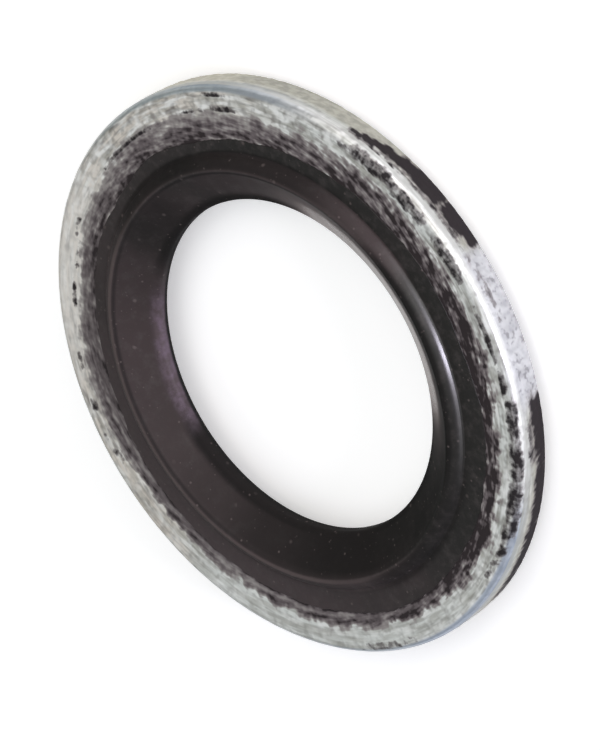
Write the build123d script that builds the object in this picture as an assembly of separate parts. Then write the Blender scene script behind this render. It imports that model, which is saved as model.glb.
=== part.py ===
from build123d import *
from math import sqrt
import os

# Bonded sealing washer: a stamped steel ring with a rubber seal moulded onto its inner edge.
# Millimetres. +Z is the axis of the washer, and the lower bead's crest rests on Z = 0.

# Rubber seal
bore_diameter = 15.8
lip_width = 1.6           # rubber between the bore and the steel's inner edge
land_height = 0.56        # band round the narrowest part of the bore, bevels included
land_bevel = 0.14
bead_height = 0.55        # crest above the steel face
bead_inset = 0.22         # crest outside the steel's inner edge
shoulder_radius = 0.62    # round from the crest down the outer side of the bead
foot_bevel = 0.2          # slope where the bead runs into the film
skin_width = 1.0          # film on the steel face outside the bead
skin_thickness = 0.07     # where it leaves the bead; it runs out to nothing

# Steel ring
ring_outer_diameter = 27.0
ring_thickness = 1.8
roll_width = 0.4          # die roll on the upper outer edge, measured along the face
roll_depth = 0.36         # and down the side
burnish_height = 0.36     # smooth sheared band below the roll
fracture_taper = 0.07     # how far the torn band leans in at the burr face
burr_bevel = 0.07         # tumbled edge at the burr face

# Heights above the middle plane of the washer, and radii, that follow from the sizes above
half_land = land_height / 2
half_ring = ring_thickness / 2
skin_level = half_ring + skin_thickness
crest_level = half_ring + bead_height
shoulder_centre_level = crest_level - shoulder_radius
outer_radius = ring_outer_diameter / 2
bore_radius = bore_diameter / 2
inner_radius = bore_radius + lip_width
crest_radius = inner_radius + bead_inset
shoulder_foot_radius = crest_radius + sqrt(shoulder_radius**2 - (skin_level - shoulder_centre_level) ** 2)
skin_radius = shoulder_foot_radius + skin_width
roll_radius = (roll_width**2 + roll_depth**2) / (2 * roll_depth)    # leaves the face without a crease


def below(point):
    """The mirror image of a (radius, height) point in the middle plane."""
    radius, height = point
    return radius, -height


def at_corners(section, corners):
    """The section's vertices that lie nearest to the named (radius, height) points."""
    return [section.vertices().sort_by_distance(corner)[0] for corner in corners]


def turned(section):
    """Turn a (radius, height) section once about Z."""
    return revolve(Plane.XZ * section, Axis.Z)


def make_steel_ring():
    """The stamped ring: rolled edge above, burnished and torn bands down the side, burr edge below."""
    roll_start = (outer_radius - roll_width, half_ring)
    roll_end = (outer_radius, half_ring - roll_depth)
    burr_corner = (outer_radius - fracture_taper, -half_ring)
    roll = RadiusArc(roll_start, roll_end, roll_radius)
    sides = Polyline(
        roll_end,
        (outer_radius, half_ring - roll_depth - burnish_height),
        burr_corner,
        (inner_radius, -half_ring),
        (inner_radius, half_ring),
        roll_start,
    )
    section = make_face((roll + sides).edges())
    return turned(chamfer(at_corners(section, [burr_corner]), burr_bevel))


def make_rubber_seal():
    """The moulding: a land and two flanks in the bore, a bead and a film on each face of the steel."""
    crest = (crest_radius, crest_level)
    shoulder_foot = (shoulder_foot_radius, skin_level)
    skin_edge = (skin_radius, half_ring)
    steel_corner = (inner_radius, half_ring)
    land_corner = (bore_radius, half_land)
    upper_shoulder = RadiusArc(crest, shoulder_foot, shoulder_radius)
    lower_shoulder = mirror(upper_shoulder, about=Plane.XZ)
    bonded_side = Polyline(
        shoulder_foot,
        skin_edge,
        steel_corner,
        below(steel_corner),
        below(skin_edge),
        below(shoulder_foot),
    )
    bore_side = Polyline(crest, land_corner, below(land_corner), below(crest))
    outline = upper_shoulder + bonded_side + lower_shoulder + bore_side
    section = make_face(outline.edges())
    section = chamfer(at_corners(section, [shoulder_foot, below(shoulder_foot)]), foot_bevel)
    return turned(chamfer(at_corners(section, [land_corner, below(land_corner)]), land_bevel))


pieces = {
    "steel_ring": make_steel_ring(),
    "rubber_seal": make_rubber_seal(),
}

os.makedirs("parts", exist_ok=True)
for node, solid in pieces.items():
    placed = Pos(0, 0, crest_level) * solid
    placed.label = node
    export_step(placed, f"parts/{node}.step")
    print(node, "volume", round(placed.volume, 2), "mm3")
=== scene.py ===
import bmesh
import bpy
from math import acos, atan2, cos, degrees, hypot, pi, radians, sin
from mathutils import Matrix, Vector, noise


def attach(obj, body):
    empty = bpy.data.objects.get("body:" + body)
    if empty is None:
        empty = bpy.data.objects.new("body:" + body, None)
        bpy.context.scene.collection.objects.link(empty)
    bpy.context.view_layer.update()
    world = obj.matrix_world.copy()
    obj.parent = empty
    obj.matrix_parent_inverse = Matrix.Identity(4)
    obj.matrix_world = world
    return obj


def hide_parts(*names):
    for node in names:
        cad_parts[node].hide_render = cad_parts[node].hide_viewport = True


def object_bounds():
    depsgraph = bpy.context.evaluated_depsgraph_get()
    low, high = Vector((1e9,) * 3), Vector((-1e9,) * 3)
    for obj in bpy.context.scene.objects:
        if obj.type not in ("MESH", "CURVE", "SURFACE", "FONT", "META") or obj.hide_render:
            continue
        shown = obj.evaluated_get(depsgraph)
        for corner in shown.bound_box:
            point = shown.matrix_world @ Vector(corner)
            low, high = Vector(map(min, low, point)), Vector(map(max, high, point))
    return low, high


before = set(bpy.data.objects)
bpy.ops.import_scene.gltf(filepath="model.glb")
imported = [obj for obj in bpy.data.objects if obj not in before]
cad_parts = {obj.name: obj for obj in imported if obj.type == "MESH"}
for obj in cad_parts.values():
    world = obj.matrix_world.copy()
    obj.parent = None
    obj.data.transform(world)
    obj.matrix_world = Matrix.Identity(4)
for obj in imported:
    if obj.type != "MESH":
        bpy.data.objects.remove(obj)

cadLow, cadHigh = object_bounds()
mm = 0.001
middle = (cadHigh.z + cadLow.z) / 2 / mm      # height of the washer's middle plane above the floor
print("frame loaded", sorted(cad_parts))


# A bonded sealing washer, lying flat: a plated steel ring, and a rubber seal moulded round its inner edge.
# Turns round it are in degrees, from -X toward -Y. Meshes are drawn in millimetres, with heights from its
# middle plane, and finishPiece lifts and scales them.

lowerTurn = 137      # the lower face is marked like the upper one, turned by this


def turnOf(point):
    return degrees(atan2(-point.y, -point.x)) % 360


def markTurn(turn, below):
    return (turn + lowerTurn) % 360 if below else turn


def around(knots, turn):
    # eased value at one turn, between (turn, value) knots that close on themselves
    knots = [*knots, (knots[0][0] + 360, knots[0][1])]
    turn = turn if turn >= knots[0][0] else turn + 360
    for (a0, v0), (a1, v1) in zip(knots, knots[1:]):
        if turn <= a1:
            t = (turn - a0) / (a1 - a0)
            return v0 + (v1 - v0) * t * t * (3 - 2 * t)
    return knots[0][1]


def apart(a, b):
    # how far two turns lie from each other
    return abs((a - b + 180) % 360 - 180)


def ease(low, high, value):
    # 0 below low, 1 above high, eased between
    t = min(max((value - low) / (high - low), 0), 1)
    return t * t * (3 - 2 * t)


def stripe(place, full, end, value):
    # 1 within full of the place, 0 from end on
    return 1 - ease(full, end, abs(value - place))


def ripple(turn, along, layers):
    # smooth noise, closed round the washer, in layers: size, pace round it, pace per mm along, seed
    a = radians(turn)
    return sum(size * noise.noise(Vector((cos(a) * perTurn + seed, sin(a) * perTurn, along * perMm + seed)))
               for size, perTurn, perMm, seed in layers)


class Section:
    # a closed section drawn in the XZ half plane and then spun about Z

    def __init__(self, start):
        self.bm = bmesh.new()
        self.first = self.tip = self.bm.verts.new((start[0], 0, start[1])).co.copy()

    def at(self, place):
        return min(self.bm.verts, key=lambda vert: (vert.co - place).length)

    def line(self, point, pieces=1):
        # no point closes the section
        end = self.bm.verts.new((point[0], 0, point[1])) if point else self.at(self.first)
        begin, self.tip = self.at(self.tip), end.co.copy()
        edge = self.bm.edges.new((begin, end))
        if pieces > 1:
            bmesh.ops.subdivide_edges(self.bm, edges=[edge], cuts=pieces - 1)

    def arc(self, centre, angle, steps):
        # clockwise in (radius, height) for a positive angle, in degrees
        made = bmesh.ops.spin(self.bm, geom=[self.at(self.tip)], cent=(centre[0], 0, centre[1]),
                              axis=(0, 1, 0), angle=radians(angle), steps=steps)
        self.tip = [g for g in made["geom_last"] if isinstance(g, bmesh.types.BMVert)][0].co.copy()

    def spin(self, sectors, steps):
        # one sector first, then its copies, which is far quicker than a single full spin
        about = {"cent": (0, 0, 0), "axis": (0, 0, 1)}
        sector = 2 * pi / sectors
        seam = 0.0005      # the sectors' ends are merged within this
        bmesh.ops.spin(self.bm, geom=self.bm.verts[:] + self.bm.edges[:], angle=sector, steps=steps, **about)
        bmesh.ops.spin(self.bm, geom=self.bm.verts[:] + self.bm.edges[:] + self.bm.faces[:],
                       angle=2 * pi - sector, steps=sectors - 1, use_duplicate=True, **about)
        bmesh.ops.remove_doubles(self.bm, verts=self.bm.verts[:], dist=seam)
        bmesh.ops.recalc_face_normals(self.bm, faces=self.bm.faces[:])
        return self.bm


def newMesh(name, bm, material):
    mesh = bpy.data.meshes.new(name)
    bm.to_mesh(mesh)
    bm.free()
    mesh.materials.append(material)
    return mesh


def newObject(name, data):
    made = bpy.data.objects.new(name, data)
    bpy.context.scene.collection.objects.link(made)
    return made


def finishPiece(name, bm, node, material):
    crease = 40      # degrees past which an edge is shaded sharp
    bmesh.ops.translate(bm, verts=bm.verts[:], vec=(0, 0, middle))
    bmesh.ops.scale(bm, verts=bm.verts[:], vec=(mm, mm, mm))
    mesh = newMesh(name, bm, material)
    mesh.shade_smooth()
    mesh.set_sharp_from_angle(angle=radians(crease))
    piece = newObject(name, mesh)
    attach(piece, "root")
    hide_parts(node)
    print(name, len(mesh.polygons), "faces")


class Wire:
    # one output socket; arithmetic on it adds Math nodes

    def __init__(self, tree, socket=None):
        self.tree = tree
        self.socket = socket

    def node(self, kind, settings=None, inputs=None, output=0):
        made = self.tree.nodes.new("ShaderNode" + kind)
        for name, value in (settings or {}).items():
            setattr(made, name, value)
        for key, value in (inputs or {}).items():
            if isinstance(value, Wire):
                self.tree.links.new(value.socket, made.inputs[key])
            else:
                made.inputs[key].default_value = value
        return Wire(self.tree, made.outputs[output])

    def maths(self, operation, *values):
        return self.node("Math", {"operation": operation}, dict(enumerate(values)))

    def __add__(self, other):
        return self.maths("ADD", self, other)

    def __sub__(self, other):
        return self.maths("SUBTRACT", self, other)

    def __rsub__(self, other):
        return self.maths("SUBTRACT", other, self)

    def __mul__(self, other):
        return self.maths("MULTIPLY", self, other)

    def __truediv__(self, other):
        return self.maths("DIVIDE", self, other)

    __radd__ = __add__
    __rmul__ = __mul__

    def most(self, other):
        return self.maths("MAXIMUM", self, other)

    def rise(self, low, high):
        # 0 below low, 1 above high, eased between
        return self.node("MapRange", {"interpolation_type": "SMOOTHSTEP"}, {0: self, 1: low, 2: high})

    def between(self, a, b):
        # the colour a where this is 0 and b where it is 1, through the Mix node's colour sockets
        return self.node("Mix", {"data_type": "RGBA"}, {0: self, 6: a, 7: b}, 2)

    def feed(self, node, key):
        self.tree.links.new(self.socket, node.inputs[key])


def newMaterial(name, fixed):
    # the material, its main shader, and an empty wire from which its other nodes are made
    material = bpy.data.materials.new(name)
    material.use_nodes = True
    tree = material.node_tree
    shader = tree.nodes["Principled BSDF"]
    for key, value in fixed.items():
        shader.inputs[key].default_value = value
    return material, shader, Wire(tree)


def shaderTones(tones):
    # screen values of 0 to 255 as the linear colours that a shader takes
    def linear(value):
        return ((value / 255 + 0.055) / 1.055) ** 2.4 if value > 10 else value / 255 / 12.92
    return {name: (*map(linear, screen), 1) for name, screen in tones.items()}


def layered(base, *coats):
    # each coat is a share and the colour that is laid on at that share, over the coats before it
    for share, tone in coats:
        base = share.between(base, tone)
    return base


def placeOf(start):
    # object coordinates in metres, their three parts in millimetres, and the distance from the axis
    place = start.node("TexCoord", output="Object")
    x, y, z = [start.node("SeparateXYZ", inputs={0: place}, output=part) * 1000 for part in range(3)]
    return place, (x, y, z), start.maths("SQRT", x * x + y * y)


def markOf(start, name, output="Fac"):
    # what a piece's vertices keep under a name
    return start.node("Attribute", {"attribute_name": name}, output=output)


def marksOf(start):
    # the four values that they keep in "finish"
    finish = markOf(start, "finish", "Color")
    marks = [start.node("SeparateColor", inputs={0: finish}, output=part) for part in range(3)]
    return *marks, markOf(start, "finish", "Alpha")


# The steel ring

steel = {
    "innerRadius": 9.5, "outerRadius": 13.5, "halfThickness": 0.9,
    "rollWidth": 0.4, "rollDepth": 0.36,      # the upper outer edge, along the face and down the wall
    "burnish": 0.36,                          # smooth band of the wall, under the roll
    "taper": 0.07, "burr": 0.07,              # lean of the torn band below, and the bevel at its foot
    "hidden": 10.6,                           # the rubber covers the steel inside this radius
    "sectors": 20, "steps": 45,
    "pieces": {"face": 28, "roll": 12, "burnish": 5, "torn": 14, "burr": 3, "under": 16},
    # outer limit of the smeared flash on the face: turn, radius
    "flashLimit": [(0, 12.2), (20, 12.28), (50, 12.3), (75, 12.45), (112, 12.55), (128, 12.45), (142, 12.4),
                   (180, 12.42), (200, 12.22), (225, 12.05), (248, 12.3), (262, 12.35), (280, 12.2),
                   (300, 12.15), (335, 12.25)],
    "flashWander": [(0.26, 22, 0.6, 0), (0.14, 70, 1.2, 5)],      # layers of ripple, as in the lists below
    "flashLeast": 0.2,                        # least width of the flash
    "flashPath": 0.3,                         # it ends here at the latest; paths start where the roll does
    # how pale the smear is, from black to the grey of worn plating: turn, share
    "flashPale": [(0, 0.3), (30, 0.24), (65, 0.24), (95, 0.36), (118, 0.46), (135, 0.6), (150, 0.66),
                  (190, 0.7), (225, 0.66), (245, 0.54), (270, 0.46), (310, 0.5), (335, 0.44)],
    # pale line where the smear meets the film: turn, strength
    "flashRim": [(0, 0.32), (30, 0.22), (60, 0.12), (90, 0.2), (125, 0.2), (150, 0.0), (230, 0.0),
                 (246, 0.18), (275, 0.3), (330, 0.36)],
    # where that line comes in and fades out across the smear, from 0 at the film to 1 at the flash's limit
    "rimRise": (0.0, 0.16), "rimFade": (0.34, 0.6),
    "paleAcross": (0.75, 0.45),               # share of its paleness at the film, and its gain from there
    # thick residue: turn, half width in degrees, path, half width, strength
    "residue": [
        # beside the roll and on it
        (23, 2.5, -0.1, 0.13, 0.7), (30.5, 4.5, 0.07, 0.2, 0.85), (39, 5.5, 0.14, 0.32, 1.0),
        (50, 4, 0.15, 0.3, 1.0), (59, 4.5, 0.13, 0.27, 1.0), (66, 2.5, 0.04, 0.17, 0.9),
        (76, 5.5, -0.02, 0.14, 0.8), (92.5, 4.5, 0.0, 0.25, 1.05), (106.5, 4.5, 0.03, 0.29, 1.15),
        (116.5, 5, 0.16, 0.31, 1.15), (122.5, 2, 0.04, 0.14, 0.6), (156, 3.5, 0.05, 0.1, 0.7),
        (345, 7, 0.05, 0.2, 0.5),
        # further in on the face
        (154.5, 4, -0.64, 0.1, 1.0), (162, 5, -0.7, 0.07, 0.6), (186, 10, -0.86, 0.08, 0.85),
        (214.5, 2.4, -0.65, 0.12, 0.65), (222, 3.4, -0.9, 0.09, 0.6), (231, 3, -0.75, 0.11, 0.65),
        (246.5, 1.8, -0.44, 0.12, 0.75), (256, 1.2, -0.36, 0.2, 0.9), (263, 0.9, -0.24, 0.1, 0.65),
        (268, 2, -0.4, 0.2, 0.55),
        # on the wall, about the top of the torn band
        (54, 5, 0.98, 0.22, 0.62), (84.5, 6, 0.98, 0.2, 0.34), (101, 7, 0.98, 0.14, 0.6),
        (112, 6, 0.96, 0.07, 0.5), (117, 5, 0.83, 0.06, 0.9),
        # low on the wall, the last of them rising to a point
        (33, 20, 1.74, 0.41, 1.0), (55, 6.5, 1.66, 0.49, 1.05), (94.5, 2.2, 1.72, 0.34, 1.1),
        (98.5, 3.6, 1.62, 0.5, 1.15), (106.5, 4.6, 1.56, 0.48, 1.15), (111, 3.2, 1.54, 0.36, 1.1),
        (115, 2.8, 1.4, 0.26, 1.1), (118, 2.4, 1.25, 0.22, 1.05), (120.5, 2, 1.1, 0.2, 1.05),
        (123, 1.8, 0.95, 0.2, 1.0),
    ],
    # gain, share of the streaks and most thickness of the residue, up to wallPath and past it
    "wallPath": 0.9, "faceResidue": (1.0, 0.6, 0.82), "wallResidue": (1.3, 0.25, 2.0),
    "streaks": [(0.7, 26, 1.0, 3), (0.7, 80, 1.2, 9)],
    "slant": -3.0,                            # lean of the streaks, in degrees per mm of path
    # reach over which the flash's height fades out, and thickness over which the residue's comes in
    "coveredFade": (0.75, 1.2), "cakedRise": (0.35, 0.75),
    # heights that the marks raise, and their unevenness
    "residueHeight": 0.015, "residueGrain": [(0.6, 90, 6, 4)],
    "flashHeight": 0.012, "flashGrain": [(1.0, 60, 3, 8)],
    "tornDepth": 0.03, "tornGrain": [(0.7, 60, 1.5, 2), (0.5, 130, 4, 7)],
    # painted reflection: how blue and dim the rolled edge is painted: turn, share
    "blued": [(0, 0.9), (32, 0.8), (48, 0.0), (126, 0.0), (148, 0.9), (182, 0.8), (205, 0.2), (310, 0.15),
              (335, 0.6)],
    # painted highlight along the rolled edge, and painted shade on the roll beside it: turn, share
    "paintedLight": [(0, 0.0), (38, 0.0), (48, 0.2), (60, 0.28), (68, 0.75), (84, 0.6), (96, 0.36), (106, 0.3),
               (120, 0.2), (132, 0.45), (144, 0.4), (158, 0.0)],
    # pale bloom on the wall: turn, share
    "bloom": [(57, 0.0), (63, 1.0), (90, 1.0), (94, 0.0), (120, 0.0), (200, 0.0)],
    # the bloom comes in past the roll's end, and the roughness before the torn band: from, to
    "bloomFade": (0.01, 0.21), "tornFade": (-0.15, 0.0),
    # shader inputs that are the same all over
    "bump": {"Strength": 0.3, "Distance": 0.00002},
    "fixed": {"Specular IOR Level": 0.12},
    "tones": {
        "plate": (216, 219, 214), "agedPlate": (220, 213, 202), "freshPlate": (246, 243, 236),
        "drawn": (168, 167, 158), "scored": (134, 132, 125), "worn": (246, 247, 243),
        "pit": (122, 120, 114), "pearl": (250, 251, 248), "nick": (88, 82, 80),
        # the blues are the painted reflection on the rolled edge
        "lowBlue": (112, 126, 144), "agedLowBlue": (98, 113, 120),
        "highBlue": (156, 168, 182), "agedHighBlue": (140, 152, 155),
        "burnished": (150, 152, 144), "torn": (146, 146, 137), "agedTorn": (164, 161, 145),
        "rubbedTorn": (180, 179, 167), "agedRubbedTorn": (194, 191, 178),
        # the two roll tones here: a painted shade and a painted highlight
        "dullRoll": (146, 148, 147), "brightRoll": (244, 245, 245),
        "bloom": (187, 189, 190), "bloomStreak": (146, 147, 151), "bloomSpeck": (104, 102, 108),
        "thinSmear": (150, 145, 142), "smear": (98, 91, 92), "blackSmear": (44, 38, 39),
        "soil": (112, 106, 106), "residueOnTorn": (28, 23, 26), "residueAbove": (22, 17, 20),
    },
}
rollRadius = (steel["rollWidth"] ** 2 + steel["rollDepth"] ** 2) / (2 * steel["rollDepth"])
rollStart = steel["outerRadius"] - steel["rollWidth"]      # radius at which the roll leaves the face
rollAngle = atan2(steel["rollWidth"], rollRadius - steel["rollDepth"])
wallStart = rollAngle * rollRadius                         # path at which the roll ends
tornStart = wallStart + steel["burnish"]


def pathOf(radius, height):
    # distance along the section from where the roll leaves the upper face
    s = steel
    top, slack = s["halfThickness"], 0.001
    if height > top - slack:
        return radius - rollStart
    if height > top - s["rollDepth"]:
        return atan2(radius - rollStart, height - top + rollRadius) * rollRadius
    if height > -top + slack:
        return wallStart + top - s["rollDepth"] - height
    return wallStart + 2 * top - s["rollDepth"] + s["outerRadius"] - radius


def smearAt(turn, radius, film):
    # reach across the smeared flash, 0 at the film and 1 at its outer limit, and how pale it is there
    s = steel
    limit = around(s["flashLimit"], turn) + ripple(turn, radius, s["flashWander"])
    reach = (radius - film) / max(limit - film, s["flashLeast"])
    rim = around(s["flashRim"], turn) * ease(*s["rimRise"], reach) * (1 - ease(*s["rimFade"], reach))
    inner, gain = s["paleAcross"]
    return reach, around(s["flashPale"], turn) * (inner + gain * min(max(reach, 0), 1)) + rim


def residueAt(turn, path):
    # how thick the residue lies
    s = steel
    field, least = 0, 0.02
    end = 1.5      # each mark has faded out at one and a half times its half widths
    for centre, halfTurn, middlePath, halfPath, strength in s["residue"]:
        off = apart(turn, centre) / halfTurn
        out = abs(path - middlePath) / halfPath
        if off < end and out < end:
            field = max(field, strength * (1 - ease(0.5, end, off)) * (1 - ease(0.45, end, out)))
    gain, streakShare, most = s["faceResidue" if path < s["wallPath"] else "wallResidue"]
    field *= gain
    if field <= least:
        return 0
    streak = ripple(turn + s["slant"] * path, path, s["streaks"])
    return min(field + streakShare * streak * ease(0.0, 0.3, field), most)


def ringSection():
    s = steel
    top, outer, pieces = s["halfThickness"], s["outerRadius"], s["pieces"]
    section = Section((s["innerRadius"], top))
    section.line((s["hidden"], top))
    section.line((rollStart, top), pieces["face"])
    section.arc((rollStart, top - rollRadius), degrees(rollAngle), pieces["roll"])
    section.line((outer, top - s["rollDepth"] - s["burnish"]), pieces["burnish"])
    section.line((outer - s["taper"], -top + s["burr"]), pieces["torn"])
    section.line((outer - s["taper"] - s["burr"], -top), pieces["burr"])
    section.line((s["hidden"], -top), pieces["under"])
    section.line((s["innerRadius"], -top))
    section.line(None)
    return section.spin(s["sectors"], s["steps"])


def makeRing():
    s = steel
    near = 0.02      # a vertex this near a face or a radius counts as on it
    bm = ringSection()
    finish = bm.verts.layers.float_color.new("finish")
    blued = bm.verts.layers.float.new("blued")
    paintedLight = bm.verts.layers.float.new("paintedLight")
    bm.normal_update()
    moves = []
    for vert in bm.verts:
        radius, height = hypot(vert.co.x, vert.co.y), vert.co.z
        turn, path = turnOf(vert.co), pathOf(radius, height)
        under = height < -s["halfThickness"] + near
        reach, pale, thick = 2, 0, 0      # bare
        if radius > s["hidden"] - near:
            if path < s["flashPath"] or under:
                clock = markTurn(turn, under)
                reach, pale = smearAt(clock, radius, filmEdgeAt(clock))
            if not under:
                thick = residueAt(turn, path)
        covered = 1 - ease(*s["coveredFade"], reach)
        caked = ease(*s["cakedRise"], thick)
        torn = 0 if under else ease(*s["tornFade"], path - tornStart)
        push = s["residueHeight"] * caked * (0.8 + ripple(turn, path, s["residueGrain"]))
        push += s["flashHeight"] * covered * (0.5 + ripple(turn, radius, s["flashGrain"]))
        push += s["tornDepth"] * torn * ripple(turn, height, s["tornGrain"]) * (1 - 0.7 * caked)
        bloom = around(s["bloom"], turn) * ease(*s["bloomFade"], path - wallStart)
        vert[finish] = (reach, pale, thick, bloom)
        vert[blued] = around(s["blued"], turn)
        vert[paintedLight] = around(s["paintedLight"], turn)
        moves.append((vert, vert.normal * push))
    for vert, move in moves:
        vert.co += move
    return bm


faceLevel = middle + steel["halfThickness"]        # heights above the floor
burnishFoot = faceLevel - steel["rollDepth"] - steel["burnish"]


class RingSurface:
    # what the layers of the zinc share: the place on the ring, its marks, and noise that follows it

    def __init__(self, start):
        self.start = start
        self.tone = shaderTones(steel["tones"])
        self.place, (self.x, self.y, self.z), self.radius = placeOf(start)
        self.path = self.radius - self.z              # grows outward over the face and then down the wall
        self.out = self.radius - rollStart            # distance outside the roll's start
        self.up = self.z - burnishFoot                # height above the burnished band's foot
        self.reach, self.pale, self.thick, self.bloom = marksOf(start)
        self.blued, self.paintedLight = markOf(start, "blued"), markOf(start, "paintedLight")
        self.drift = self.toward(0.64, 0.77) * -2.9   # shifts the smear's grain along the path
        self.aged = self.toward(0.76, 0.65).rise(-0.1, 0.8)                      # 1 where it has yellowed
        self.worked = 1.0 - self.toward(-0.36, 0.93).rise(-0.1, 0.6) * 0.36      # strength of the grain
        self.upper = self.up.rise(-0.28, 0.12)        # 1 on the face, the roll and the burnished band
        self.rolled = self.out.rise(-0.02, 0.15) * self.up.rise(-0.13, 0.07)
        self.pits = self.granular(2900.0)
        # a painted highlight: the bright line along the roll
        edge = self.path - (rollStart - faceLevel) + (self.grain(30, 0.5, 1, 94) - 0.5) * 0.3
        self.bright = edge.rise(0.4, 0.75) * (1.0 - edge.rise(0.85, 1.11)) * self.paintedLight * self.upper

    def toward(self, x, y):
        # 1 on the side of the ring that this direction points to, -1 on the opposite side
        return (self.x * x + self.y * y) / self.radius

    def loosened(self, vector):
        # turned off the noise's own lattice, which would show as bricks
        return self.start.node("VectorRotate", {"rotation_type": "AXIS_ANGLE"}, {
            "Vector": vector, "Axis": (0.5, 0.7, 0.5), "Angle": 0.9})

    def granular(self, scale, detail=1.0):
        return self.start.node("TexNoise", inputs={
            "Vector": self.loosened(self.place), "Scale": scale, "Detail": detail})

    def grain(self, perTurn, perMm, detail=2.0, seed=0.0, slant=0.0, drifted=0.0):
        # noise stretched along the turn or across it, closed round the washer
        spoke = self.start.node("CombineXYZ", inputs={
            0: self.x / self.radius * perTurn, 1: self.y / self.radius * perTurn})
        if slant:
            spoke = self.start.node("VectorRotate", {"rotation_type": "Z_AXIS"}, {
                "Vector": spoke, "Angle": self.path * radians(slant)})
        path = self.path + self.drift * drifted if drifted else self.path
        across = self.start.node("CombineXYZ", inputs={0: seed, 2: path * perMm + seed})
        both = self.start.node("VectorMath", {"operation": "ADD"}, {0: spoke, 1: across})
        return self.start.node("TexNoise", inputs={
            "Vector": self.loosened(both), "Scale": 1.0, "Detail": detail})


def bloomColour(on):
    streaks = on.grain(34, 1.1, 1, 34).rise(0.38, 0.74) * 0.6 + on.pits.rise(0.4, 0.7) * 0.4
    return layered((streaks * 0.8).between(on.tone["bloom"], on.tone["bloomStreak"]),
                   (on.granular(3700.0, 1.5).rise(0.5, 0.72) * 0.7, on.tone["bloomSpeck"]))


def plateColour(on):
    # the bare ring, without the rubber smeared on it
    grain, tone, aged, worked = on.grain, on.tone, on.aged, on.worked
    tint = (aged + (grain(5, 0.5, 2) - 0.5) * 1.2).rise(0.1, 0.9)
    # painted reflection: the rolled edge painted blue-grey and dim by turn
    tinted = on.out.rise(0.1, 0.24) * on.up.rise(-0.13, 0.17) * on.blued
    blue = on.up.rise(0.37, 0.62).between(aged.between(tone["lowBlue"], tone["agedLowBlue"]),
                                          aged.between(tone["highBlue"], tone["agedHighBlue"]))
    underRoll = 1.0 - on.up.rise(steel["burnish"] - 0.02, steel["burnish"] + 0.04)
    burnished = on.upper * underRoll * (0.45 + grain(7, 18, 4, 54).rise(0.35, 0.65) * 0.45)
    plate = layered(
        tint.between(tone["plate"], tone["agedPlate"]),
        (grain(9, 3.4, 2, 4).rise(0.4, 0.64) * worked * 0.75, tone["drawn"]),
        (grain(9, 5, 1.5, 11).rise(0.44, 0.7) * worked * 0.7, tone["scored"]),
        # lighter streaks where the plating is worn
        (grain(10, 4, 1.5, 14).rise(0.46, 0.72) * worked * 0.8, tone["worn"]),
        (on.pits.rise(0.44, 0.76) * worked * 0.6, tone["pit"]),
        (on.granular(2100.0).rise(0.46, 0.78) * worked * 0.5, tone["pearl"]),
        (grain(16, 4, 1, 44).rise(0.54, 0.8) * (0.1 + aged * 0.55), tone["nick"]),
        # lighter toward one side of the face
        (on.toward(0.7071, 0.7071).rise(0.82, 1.0) * 0.45, tone["freshPlate"]),
        (tinted * 0.95, blue),
        (burnished, tone["burnished"]))
    torn = tint.between(tone["torn"], tone["agedTorn"])
    rubbedTorn = tint.between(tone["rubbedTorn"], tone["agedRubbedTorn"])
    torn = (grain(30, 5, 2, 24).rise(0.3, 0.7) * 0.7).between(torn, rubbedTorn)
    return layered(
        on.upper.between(torn, plate),
        # painted shade dimming the roll beside the painted highlight
        (on.rolled * (1.0 - on.bright) * on.paintedLight.rise(0.0, 0.2) * 0.3, tone["dullRoll"]),
        # painted highlight along the roll
        (on.bright * 0.65, tone["brightRoll"]),
        (on.bloom * 0.9, bloomColour(on)))


def smearShare(on):
    # how black the smeared flash lies, from 0 on bare plate to 1
    flow = on.grain(9, 3.6, 2.5, 7, drifted=0.6)
    flecks = on.grain(20, 5.0, 1.5, 27, drifted=0.6)
    cloud = on.grain(6, 0.9, 2, 57)
    shaken = (flow - 0.5) * 2.0 + (flecks - 0.5) * 1.3 + (cloud - 0.5) * 0.4 + (on.pits - 0.5) * 1.1
    shaken = shaken * (1.3 - on.pale * 1.2) * on.worked
    smooth = (1.0 - on.pale * 0.75) * (1.0 - on.reach.rise(0.5, 1.35))
    return smooth + shaken * (1.0 - on.reach.rise(0.9, 1.7) * 0.82)


def residueShare(on):
    # the thick residue, broken into strokes and chunks
    slanting = on.toward(-1.0, 0.0).rise(0.05, 0.5) * (1.0 - on.upper)
    low = slanting * on.grain(56, 1.2, 1, 37, steel["slant"]) + (1.0 - slanting) * on.grain(18, 5, 2, 47)
    strokes = (1.0 - on.upper) * low + on.upper * on.grain(44, 1.4, 2, 77)
    chunks = on.grain(24, 3.4, 2, 67)
    broken = (0.5 + on.upper * 0.15) * on.thick.rise(0.0, 0.2)
    return on.thick * 0.9 + (strokes - 0.5) * broken * 2.1 + (chunks - 0.5) * broken * 2.4


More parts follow.
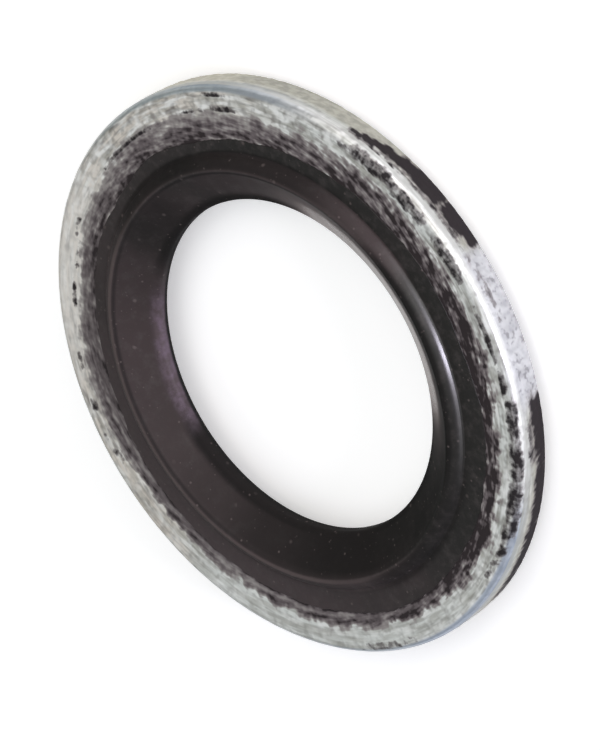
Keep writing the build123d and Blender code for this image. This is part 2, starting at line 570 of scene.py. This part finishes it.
def zincMaterial():
    material, bsdf, start = newMaterial("zinc plated steel", steel["fixed"])
    on = RingSurface(start)
    dark, soiled = smearShare(on), residueShare(on)
    lumps = soiled.rise(0.32, 0.96)
    final = layered(
        plateColour(on),
        (dark.rise(0.06, 0.3), on.tone["thinSmear"]),
        (dark.rise(0.25, 0.55), on.tone["smear"]),
        (dark.rise(0.5, 0.82), on.tone["blackSmear"]),
        (soiled.rise(0.14, 0.5) * 0.65, on.tone["soil"]),
        (lumps * 0.96, on.upper.between(on.tone["residueOnTorn"], on.tone["residueAbove"])))
    final.feed(bsdf, "Base Color")
    covered = dark.rise(0.12, 0.55).most(lumps)
    metallic = (0.62 - on.rolled * 0.16 - on.bright * 0.2 - on.bloom * 0.35) * (1.0 - covered * 0.97)
    metallic.feed(bsdf, "Metallic")
    rough = on.grain(22, 6, 3, 41) * 0.16 + 0.24 + covered * 0.26 + (1.0 - on.upper) * 0.16
    rough.feed(bsdf, "Roughness")
    relief = on.grain(50, 8, 2, 51) * 0.7 + covered * 0.6 + on.pits * 0.4
    start.node("Bump", inputs={"Height": relief, **steel["bump"]}).feed(bsdf, "Normal")
    return material


# The rubber seal

rubber = {
    "bore": 7.9, "halfLand": 0.28, "landRound": 0.26,
    "crest": (9.72, 1.45), "crestRound": 0.07,      # radius and height of the bead's ridge
    "shoulderRadius": 0.62, "hollowRadius": 0.14,   # the rounds from the ridge down to the film
    "innerRadius": 9.5, "steelFace": 0.9,
    "filmLevel": 0.965, "filmEdge": 11.32,
    "filmLip": (0.03, 0.035), "filmSunk": 0.02,     # its rim: lean, height above the steel, depth below
    "sectors": 20, "steps": 36,
    "pieces": {"land": 4, "flank": 18, "shoulder": 14, "hollow": 8, "film": 12, "lip": 2, "round": 5},
    "flankHollow": 0.012, "flankGrain": [(0.012, 12, 1.5, 14)], "filmGrain": [(0.012, 40, 3, 12)],
    # where the film on the steel runs out: turn, radius
    "filmRun": [(0, 11.56), (15, 11.5), (35, 11.55), (60, 11.56), (72, 11.38), (90, 11.4), (112, 11.28),
                (135, 11.12), (165, 11.0), (182, 11.16), (198, 10.95), (212, 11.1), (250, 11.14),
                (272, 11.38), (300, 11.46), (335, 11.5), (352, 11.6)],
    "filmRagged": 0.07, "filmRags": [(1.0, 14, 1, 1), (0.6, 40, 1, 6), (0.2, 110, 1, 2)],
    # painted highlight along the upper edge of the land, smoothness above it that also carries a painted
    # reflection, and a painted highlight along the ridge: turn, share
    "edgeHighlight": [(0, 0.0), (215, 0.0), (235, 0.45), (256, 0.4), (268, 0.0)],
    "edgeSmooth": [(0, 0.0), (30, 0.0), (65, 1.0), (125, 1.0), (150, 0.0)],
    "ridgeHighlight": [(0, 0.4), (30, 0.1), (100, 0.1), (120, 0.4), (150, 0.3), (195, 0.5), (215, 0.9),
                  (328, 0.9), (342, 0.6)],
    # painted shade on the land, the flank, the crest and the shoulder, and gloss of the shoulder: turn,
    # share
    "landShade": [(0, 1.0), (205, 1.0), (225, 0.0), (262, 0.0), (275, 1.0)],
    "flankShade": [(0, 0.85), (30, 0.75), (60, 0.6), (100, 0.5), (118, 0.0), (155, 0.0), (175, 0.0),
                  (190, 0.75), (215, 0.3), (240, 0.0), (270, 0.1), (290, 0.4), (310, 0.8), (335, 1.0),
                  (350, 1.0)],
    "crestShade": [(0, 0.0), (30, 0.4), (50, 1.0), (98, 1.0), (115, 0.0)],
    "shoulderShade": [(0, 0.7), (30, 0.5), (50, 0.0), (110, 0.0), (135, 0.8), (190, 0.8), (215, 0.0),
                     (345, 0.0)],
    "gloss": [(0, 0.0), (32, 0.1), (50, 0.5), (66, 0.8), (78, 1.0), (86, 0.8), (97, 0.3), (108, 0.0)],
    # painted reflection, a violet sheen on the far side of the bore: turn, share
    "sheen": [(0, 0.0), (216, 0.0), (234, 1.0), (260, 1.0), (275, 0.0)],
    # how brown the rubber has weathered, and its film on the steel: turn, share
    "warm": [(0, 0.3), (40, 0.1), (90, 0.2), (112, 0.8), (145, 0.9), (170, 0.4), (200, 0.4), (225, 1.0),
             (320, 1.0), (345, 0.7)],
    "filmWarm": [(0, 0.25), (30, 0.0), (150, 0.0), (180, 0.2), (225, 0.5), (260, 0.85), (285, 1.0),
                 (315, 0.8), (345, 0.4)],
    # distances from the bore between which looks fade out, and the flank's unevenness comes in
    "wearFade": (0.15, 0.4), "landFade": (0.2, 0.6), "sheenFade": (0.1, 0.46), "smoothFade": (0.7, 2.1),
    "grainRise": (0.1, 0.7),
    # distances inside and outside the ridge over which painted shade comes in, and past the foot to its end
    "flankRise": (0.0, 0.25), "shoulderRise": (0.02, 0.15), "shoulderEnd": 0.3,
    # where the flank's hollow comes in and fades out, as shares of the way from the bore to the ridge
    "hollowRise": (0.55, 0.86), "hollowFade": (0.86, 1.0),
    # lines along the ridge, a painted highlight, a painted shade and the crest's painted shade: distance
    # outside the crest, half width at full strength and at none
    "wornLine": (0.12, 0.03, 0.16), "shadeLine": (-0.1, 0.03, 0.12), "crestLine": (0.04, 0.12, 0.34),
    "shadeLineShare": 0.75,                          # strength of the dark one
    "filmStart": 0.05,                              # past the foot, where the film's brown starts
    # shader inputs that are the same all over
    "bump": {"Strength": 0.2, "Distance": 0.00002},
    "fixed": {"Specular IOR Level": 0.16, "Coat Roughness": 0.32, "Coat IOR": 1.75},
    "tones": {
        # of these tones, the ridge and edge line tone is a painted highlight, the rim and violet tones are
        # painted reflections and the darkest is a painted shade
        "black": (31, 30, 28), "brown": (58, 50, 50), "brownFilm": (69, 60, 61), "mottle": (72, 67, 66),
        "fine": (54, 50, 49), "worn": (84, 74, 73), "polished": (110, 92, 87), "shade": (18, 17, 16),
        "sheen": (106, 92, 106), "dust": (116, 106, 104),
    },
}
crestX, crestZ = rubber["crest"]
shoulderZ = crestZ - rubber["shoulderRadius"]
hollowZ = rubber["filmLevel"] + rubber["hollowRadius"]
shoulderReach = rubber["shoulderRadius"] + rubber["hollowRadius"]
shoulderSweep = acos((hollowZ - shoulderZ) / shoulderReach)
footX = crestX + shoulderReach * sin(shoulderSweep)


def filmEdgeAt(turn):
    return around(rubber["filmRun"], turn) + rubber["filmRagged"] * ripple(turn, 0, rubber["filmRags"])


def sealSection():
    s = rubber
    pieces, sweep = s["pieces"], degrees(shoulderSweep)
    edge, sunk = s["filmEdge"], s["steelFace"] - s["filmSunk"]
    lip = edge - s["filmLip"][0], s["steelFace"] + s["filmLip"][1]
    section = Section((s["bore"], -s["halfLand"]))
    section.line((s["bore"], s["halfLand"]), pieces["land"])
    section.line((crestX, crestZ), pieces["flank"])
    section.arc((crestX, shoulderZ), sweep, pieces["shoulder"])
    section.arc((footX, hollowZ), -sweep, pieces["hollow"])
    section.line(lip, pieces["film"])
    section.line((edge, sunk), pieces["lip"])
    section.line((s["innerRadius"], sunk))
    section.line((s["innerRadius"], -sunk))
    section.line((edge, -sunk))
    section.line((lip[0], -lip[1]), pieces["lip"])
    section.line((footX, -s["filmLevel"]), pieces["film"])
    section.arc((footX, -hollowZ), -sweep, pieces["hollow"])
    section.arc((crestX, -shoulderZ), sweep, pieces["shoulder"])
    section.line(None, pieces["flank"])
    return section.spin(s["sectors"], s["steps"])


def roundEdge(bm, radius, height, size):
    near = 0.004      # how closely the edge is looked for
    loop = [edge for edge in bm.edges if all(
        abs(hypot(v.co.x, v.co.y) - radius) < near and abs(v.co.z - height) < near for v in edge.verts)]
    bmesh.ops.bevel(bm, geom=loop, offset=size, affect="EDGES", segments=rubber["pieces"]["round"],
                    profile=0.5, material=-1, clamp_overlap=True)


def sealMarks(clock, radius, height):
    # warmth, painted highlight and reflection, painted shade and gloss at one place
    s = rubber
    fromBore, fromCrest = radius - s["bore"], radius - crestX
    # smoother near the bore on the near side; its colour there, given through the second value, is a painted
    # reflection
    smooth = around(s["edgeSmooth"], clock) * (1 - ease(*s["smoothFade"], fromBore)) if height > 0 else 0
    # painted highlight along the ridge and along the land's upper edge
    wear = max(around(s["ridgeHighlight"], clock) * stripe(*s["wornLine"], fromCrest),
               around(s["edgeHighlight"], clock) * (1 - ease(*s["wearFade"], fromBore)))
    # painted shade along the ridge, the crest, the flank, the shoulder and the land
    shaded = max(s["shadeLineShare"] * stripe(*s["shadeLine"], fromCrest),
                 around(s["crestShade"], clock) * stripe(*s["crestLine"], fromCrest),
                 around(s["flankShade"], clock) * ease(*s["flankRise"], -fromCrest)) * (1 - smooth)
    shoulder = ease(*s["shoulderRise"], fromCrest) * (1 - ease(0, s["shoulderEnd"], radius - footX))
    shaded = max(shaded, around(s["shoulderShade"], clock) * shoulder,
                 around(s["landShade"], clock) * (1 - ease(*s["landFade"], fromBore)) * (1 - smooth))
    warm = around(s["warm" if radius < footX + s["filmStart"] else "filmWarm"], clock)
    return warm, max(wear, 2 * smooth), shaded, around(s["gloss"], clock)


def makeSeal():
    s = rubber
    bm = sealSection()
    for face in (1, -1):
        roundEdge(bm, s["bore"], face * s["halfLand"], s["landRound"])
    for face in (1, -1):
        roundEdge(bm, crestX, face * crestZ, s["crestRound"])
    finish = bm.verts.layers.float_color.new("finish")
    sheen = bm.verts.layers.float.new("sheen")
    for vert in bm.verts:
        radius, height = hypot(vert.co.x, vert.co.y), vert.co.z
        turn = turnOf(vert.co)
        clock = markTurn(turn, height < 0)
        face = 1 if height > 0 else -1
        vert[finish] = sealMarks(clock, radius, height)
        vert[sheen] = around(s["sheen"], clock) * (1 - ease(*s["sheenFade"], radius - s["bore"]))
        if radius > footX:
            wanted = footX + (radius - footX) * (filmEdgeAt(clock) - footX) / (s["filmEdge"] - footX)
            vert.co.x *= wanted / radius
            vert.co.y *= wanted / radius
            if abs(height) > s["steelFace"]:
                vert.co.z += face * ripple(turn, wanted, s["filmGrain"])
        elif radius < crestX:
            flank = (radius - s["bore"]) / (crestX - s["bore"])
            hollow = s["flankHollow"] * ease(*s["hollowRise"], flank) * (1 - ease(*s["hollowFade"], flank))
            grain = ripple(turn, height, s["flankGrain"]) * ease(*s["grainRise"], radius - s["bore"])
            vert.co.z += face * (grain - hollow)
    return bm


def rubberMaterial():
    material, bsdf, start = newMaterial("black moulded rubber", rubber["fixed"])
    tone = shaderTones(rubber["tones"])
    place, _, radius = placeOf(start)
    warm, paintedLight, shaded, gloss = marksOf(start)
    sheen = markOf(start, "sheen")

    def cloudy(scale, detail, roughness=0.5):
        return start.node("TexNoise", inputs={
            "Vector": place, "Scale": scale, "Detail": detail, "Roughness": roughness})

    def specks(scale, share, seed):
        moved = start.node("VectorMath", {"operation": "ADD"}, {0: place, 1: (seed, seed, 0)})
        near = start.node("TexVoronoi", inputs={"Vector": moved, "Scale": scale}, output="Distance")
        cell = start.node("TexVoronoi", inputs={"Vector": moved, "Scale": scale}, output="Color")
        chance = start.node("SeparateColor", inputs={0: cell}, output=0)
        return (1 - near.rise(0.05, 0.32)) * chance.rise(1 - share, 1 - share * 0.5)

    cloud, fine, mottle = cloudy(260.0, 3.0), cloudy(5200.0, 3.0), cloudy(1700.0, 4.0, 0.65)
    dust = (specks(2300.0, 0.07, 0.0) * 0.8).most(specks(3900.0, 0.12, 0.03))
    dust = dust.most(specks(6500.0, 0.12, 0.05) * 0.7)
    film = radius.rise(crestX + 0.6, crestX + 0.9)
    # the near rim's colour is a painted reflection; it is also less rough
    polished = paintedLight.rise(1.0, 2.0)
    base = layered(
        (cloud + warm * 0.7 - 0.35).rise(0.25, 0.75).between(tone["black"], tone["brown"]),
        (film * warm * 0.8, tone["brownFilm"]),
        (mottle.rise(0.45, 0.75) * 0.45, tone["mottle"]),
        (fine.rise(0.4, 0.8) * 0.3, tone["fine"]),
        # painted highlight along the ridge and the land's edge, and painted reflection on the near rim
        (paintedLight.rise(0.0, 1.0) * (0.3 + warm * 0.7), tone["worn"]),
        (polished, tone["polished"]),
        # painted shade, then a painted violet reflection
        (shaded * 0.88, tone["shade"]),
        (sheen * (0.15 + mottle.rise(0.35, 0.65) * 0.5), tone["sheen"]),
        (dust * 0.4, tone["dust"]))
    base.feed(bsdf, "Base Color")
    foot = crestX + rubber["shoulderRadius"]
    shoulder = radius.rise(crestX, crestX + 0.1) * (1.0 - radius.rise(foot, foot + 0.3))
    dull = shoulder * (0.14 - gloss * 0.3) + shaded * 0.35 - polished * 0.3
    rough = cloud * 0.1 + fine * 0.06 + 0.4 + dull + dust * 0.3
    rough.feed(bsdf, "Roughness")
    relief = fine * 0.6 + dust
    start.node("Bump", inputs={"Height": relief, **rubber["bump"]}).feed(bsdf, "Normal")
    polish = radius.rise(crestX + 0.2, crestX + 0.66) * (1.0 - radius.rise(foot, foot + 0.07))
    (polish * gloss).feed(bsdf, "Coat Weight")
    return material


finishPiece("plated_ring", makeRing(), "steel_ring", zincMaterial())
finishPiece("moulded_seal", makeSeal(), "rubber_seal", rubberMaterial())


# The camera, rolled, looks along +Y and down, from far off through a long lens

view = {
    "elevation": 40.6, "roll": 120.63, "lens": 1116, "sensor": 36,
    "frame": (600, 750), "pixelsPerMm": 22.78,
    "washerPixel": (299.2, 363.8),      # where the washer's middle lies in the frame, from its upper left
}


def makeCamera():
    s = view
    data = bpy.data.cameras.new("camera")
    data.lens = s["lens"]
    data.sensor_width = s["sensor"]
    data.clip_start, data.clip_end = 0.01, 10
    camera = newObject("camera", data)
    tilt = radians(s["elevation"])
    ahead = Vector((0, cos(tilt), -sin(tilt)))
    turn = ahead.to_track_quat("-Z", "Y").to_matrix() @ Matrix.Rotation(-radians(s["roll"]), 3, "Z")
    width, height = s["frame"]
    distance = s["lens"] / s["sensor"] * height / s["pixelsPerMm"] * mm
    right = (s["washerPixel"][0] - width / 2) / s["pixelsPerMm"] * mm
    up = (height / 2 - s["washerPixel"][1]) / s["pixelsPerMm"] * mm
    centre = Vector((0, 0, middle * mm))
    place = centre + turn @ Vector((-right, -up, distance))
    camera.matrix_world = Matrix.Translation(place) @ turn.to_4x4()
    bpy.context.scene.camera = camera
    print("camera", round(distance, 3), "m away")


# Floor and light

floor = {"side": 2.0, "colour": (0.88, 0.88, 0.88), "lift": 0.39}      # the lift whitens it where it is seen
sky = {"colour": (0.87, 0.94, 1.0), "level": 0.15}
lamps = {      # direction to the lamp, radiance, width and height in metres, distance, colour
    "key": ((0.5, -0.65, 0.57), 1.48, (0.78, 0.78), 0.6, (1.0, 0.95, 0.9)),
    "strip": ((-0.22, -0.96, 0.17), 2.2, (1.6, 0.15), 0.4, (0.97, 0.95, 1.0)),
    "top": ((0.0, -0.25, 1.0), 0.63, (0.75, 0.95), 0.7, (0.95, 0.98, 1.0)),
    "flash": ((-0.495, -0.86, 0.14), 40.0, (0.09, 0.26), 0.6, (0.87, 0.83, 1.0)),
    "back": ((0.0, 0.76, 0.65), 0.55, (1.5, 0.45), 0.6, (0.97, 0.98, 1.0)),
}


def floorMaterial():
    material = bpy.data.materials.new("white floor")
    material.use_nodes = True
    tree = material.node_tree
    tree.nodes.clear()
    start = Wire(tree)
    camera, glossy, passed = [start.node("LightPath", output=f"Is {ray} Ray")
                              for ray in ("Camera", "Glossy", "Transmission")]
    paper = start.node("BsdfDiffuse", inputs={"Color": (*floor["colour"], 1)})
    lift = start.node("Emission", inputs={"Strength": camera.most(glossy).most(passed) * floor["lift"]})
    both = start.node("AddShader", inputs={0: paper, 1: lift})
    both.feed(tree.nodes.new("ShaderNodeOutputMaterial"), "Surface")
    return material


def makeFloor():
    bm = bmesh.new()
    bmesh.ops.create_grid(bm, x_segments=1, y_segments=1, size=floor["side"] / 2)
    plane = newObject("floor", newMesh("floor", bm, floorMaterial()))
    print("floor", floor["side"], "m wide")


def makeLamps():
    for name, (direction, radiance, (width, height), distance, tint) in lamps.items():
        data = bpy.data.lights.new(name, "AREA")
        data.shape = "RECTANGLE"
        data.size, data.size_y = width, height
        data.energy = radiance * pi * width * height
        data.color = tint
        lamp = newObject(name, data)
        away = Vector(direction).normalized()
        turn = away.to_track_quat("Z", "Y").to_matrix().to_4x4()
        lamp.matrix_world = Matrix.Translation(away * distance) @ turn
        lamp.visible_camera = False
    print(len(lamps), "lamps")


def makeSky():
    world = bpy.data.worlds.new("studio")
    world.use_nodes = True
    background = world.node_tree.nodes["Background"]
    background.inputs["Color"].default_value = (*sky["colour"], 1)
    background.inputs["Strength"].default_value = sky["level"]
    bpy.context.scene.world = world


makeCamera()
makeFloor()
makeLamps()
makeSky()
bpy.context.scene.view_settings.view_transform = "Standard"
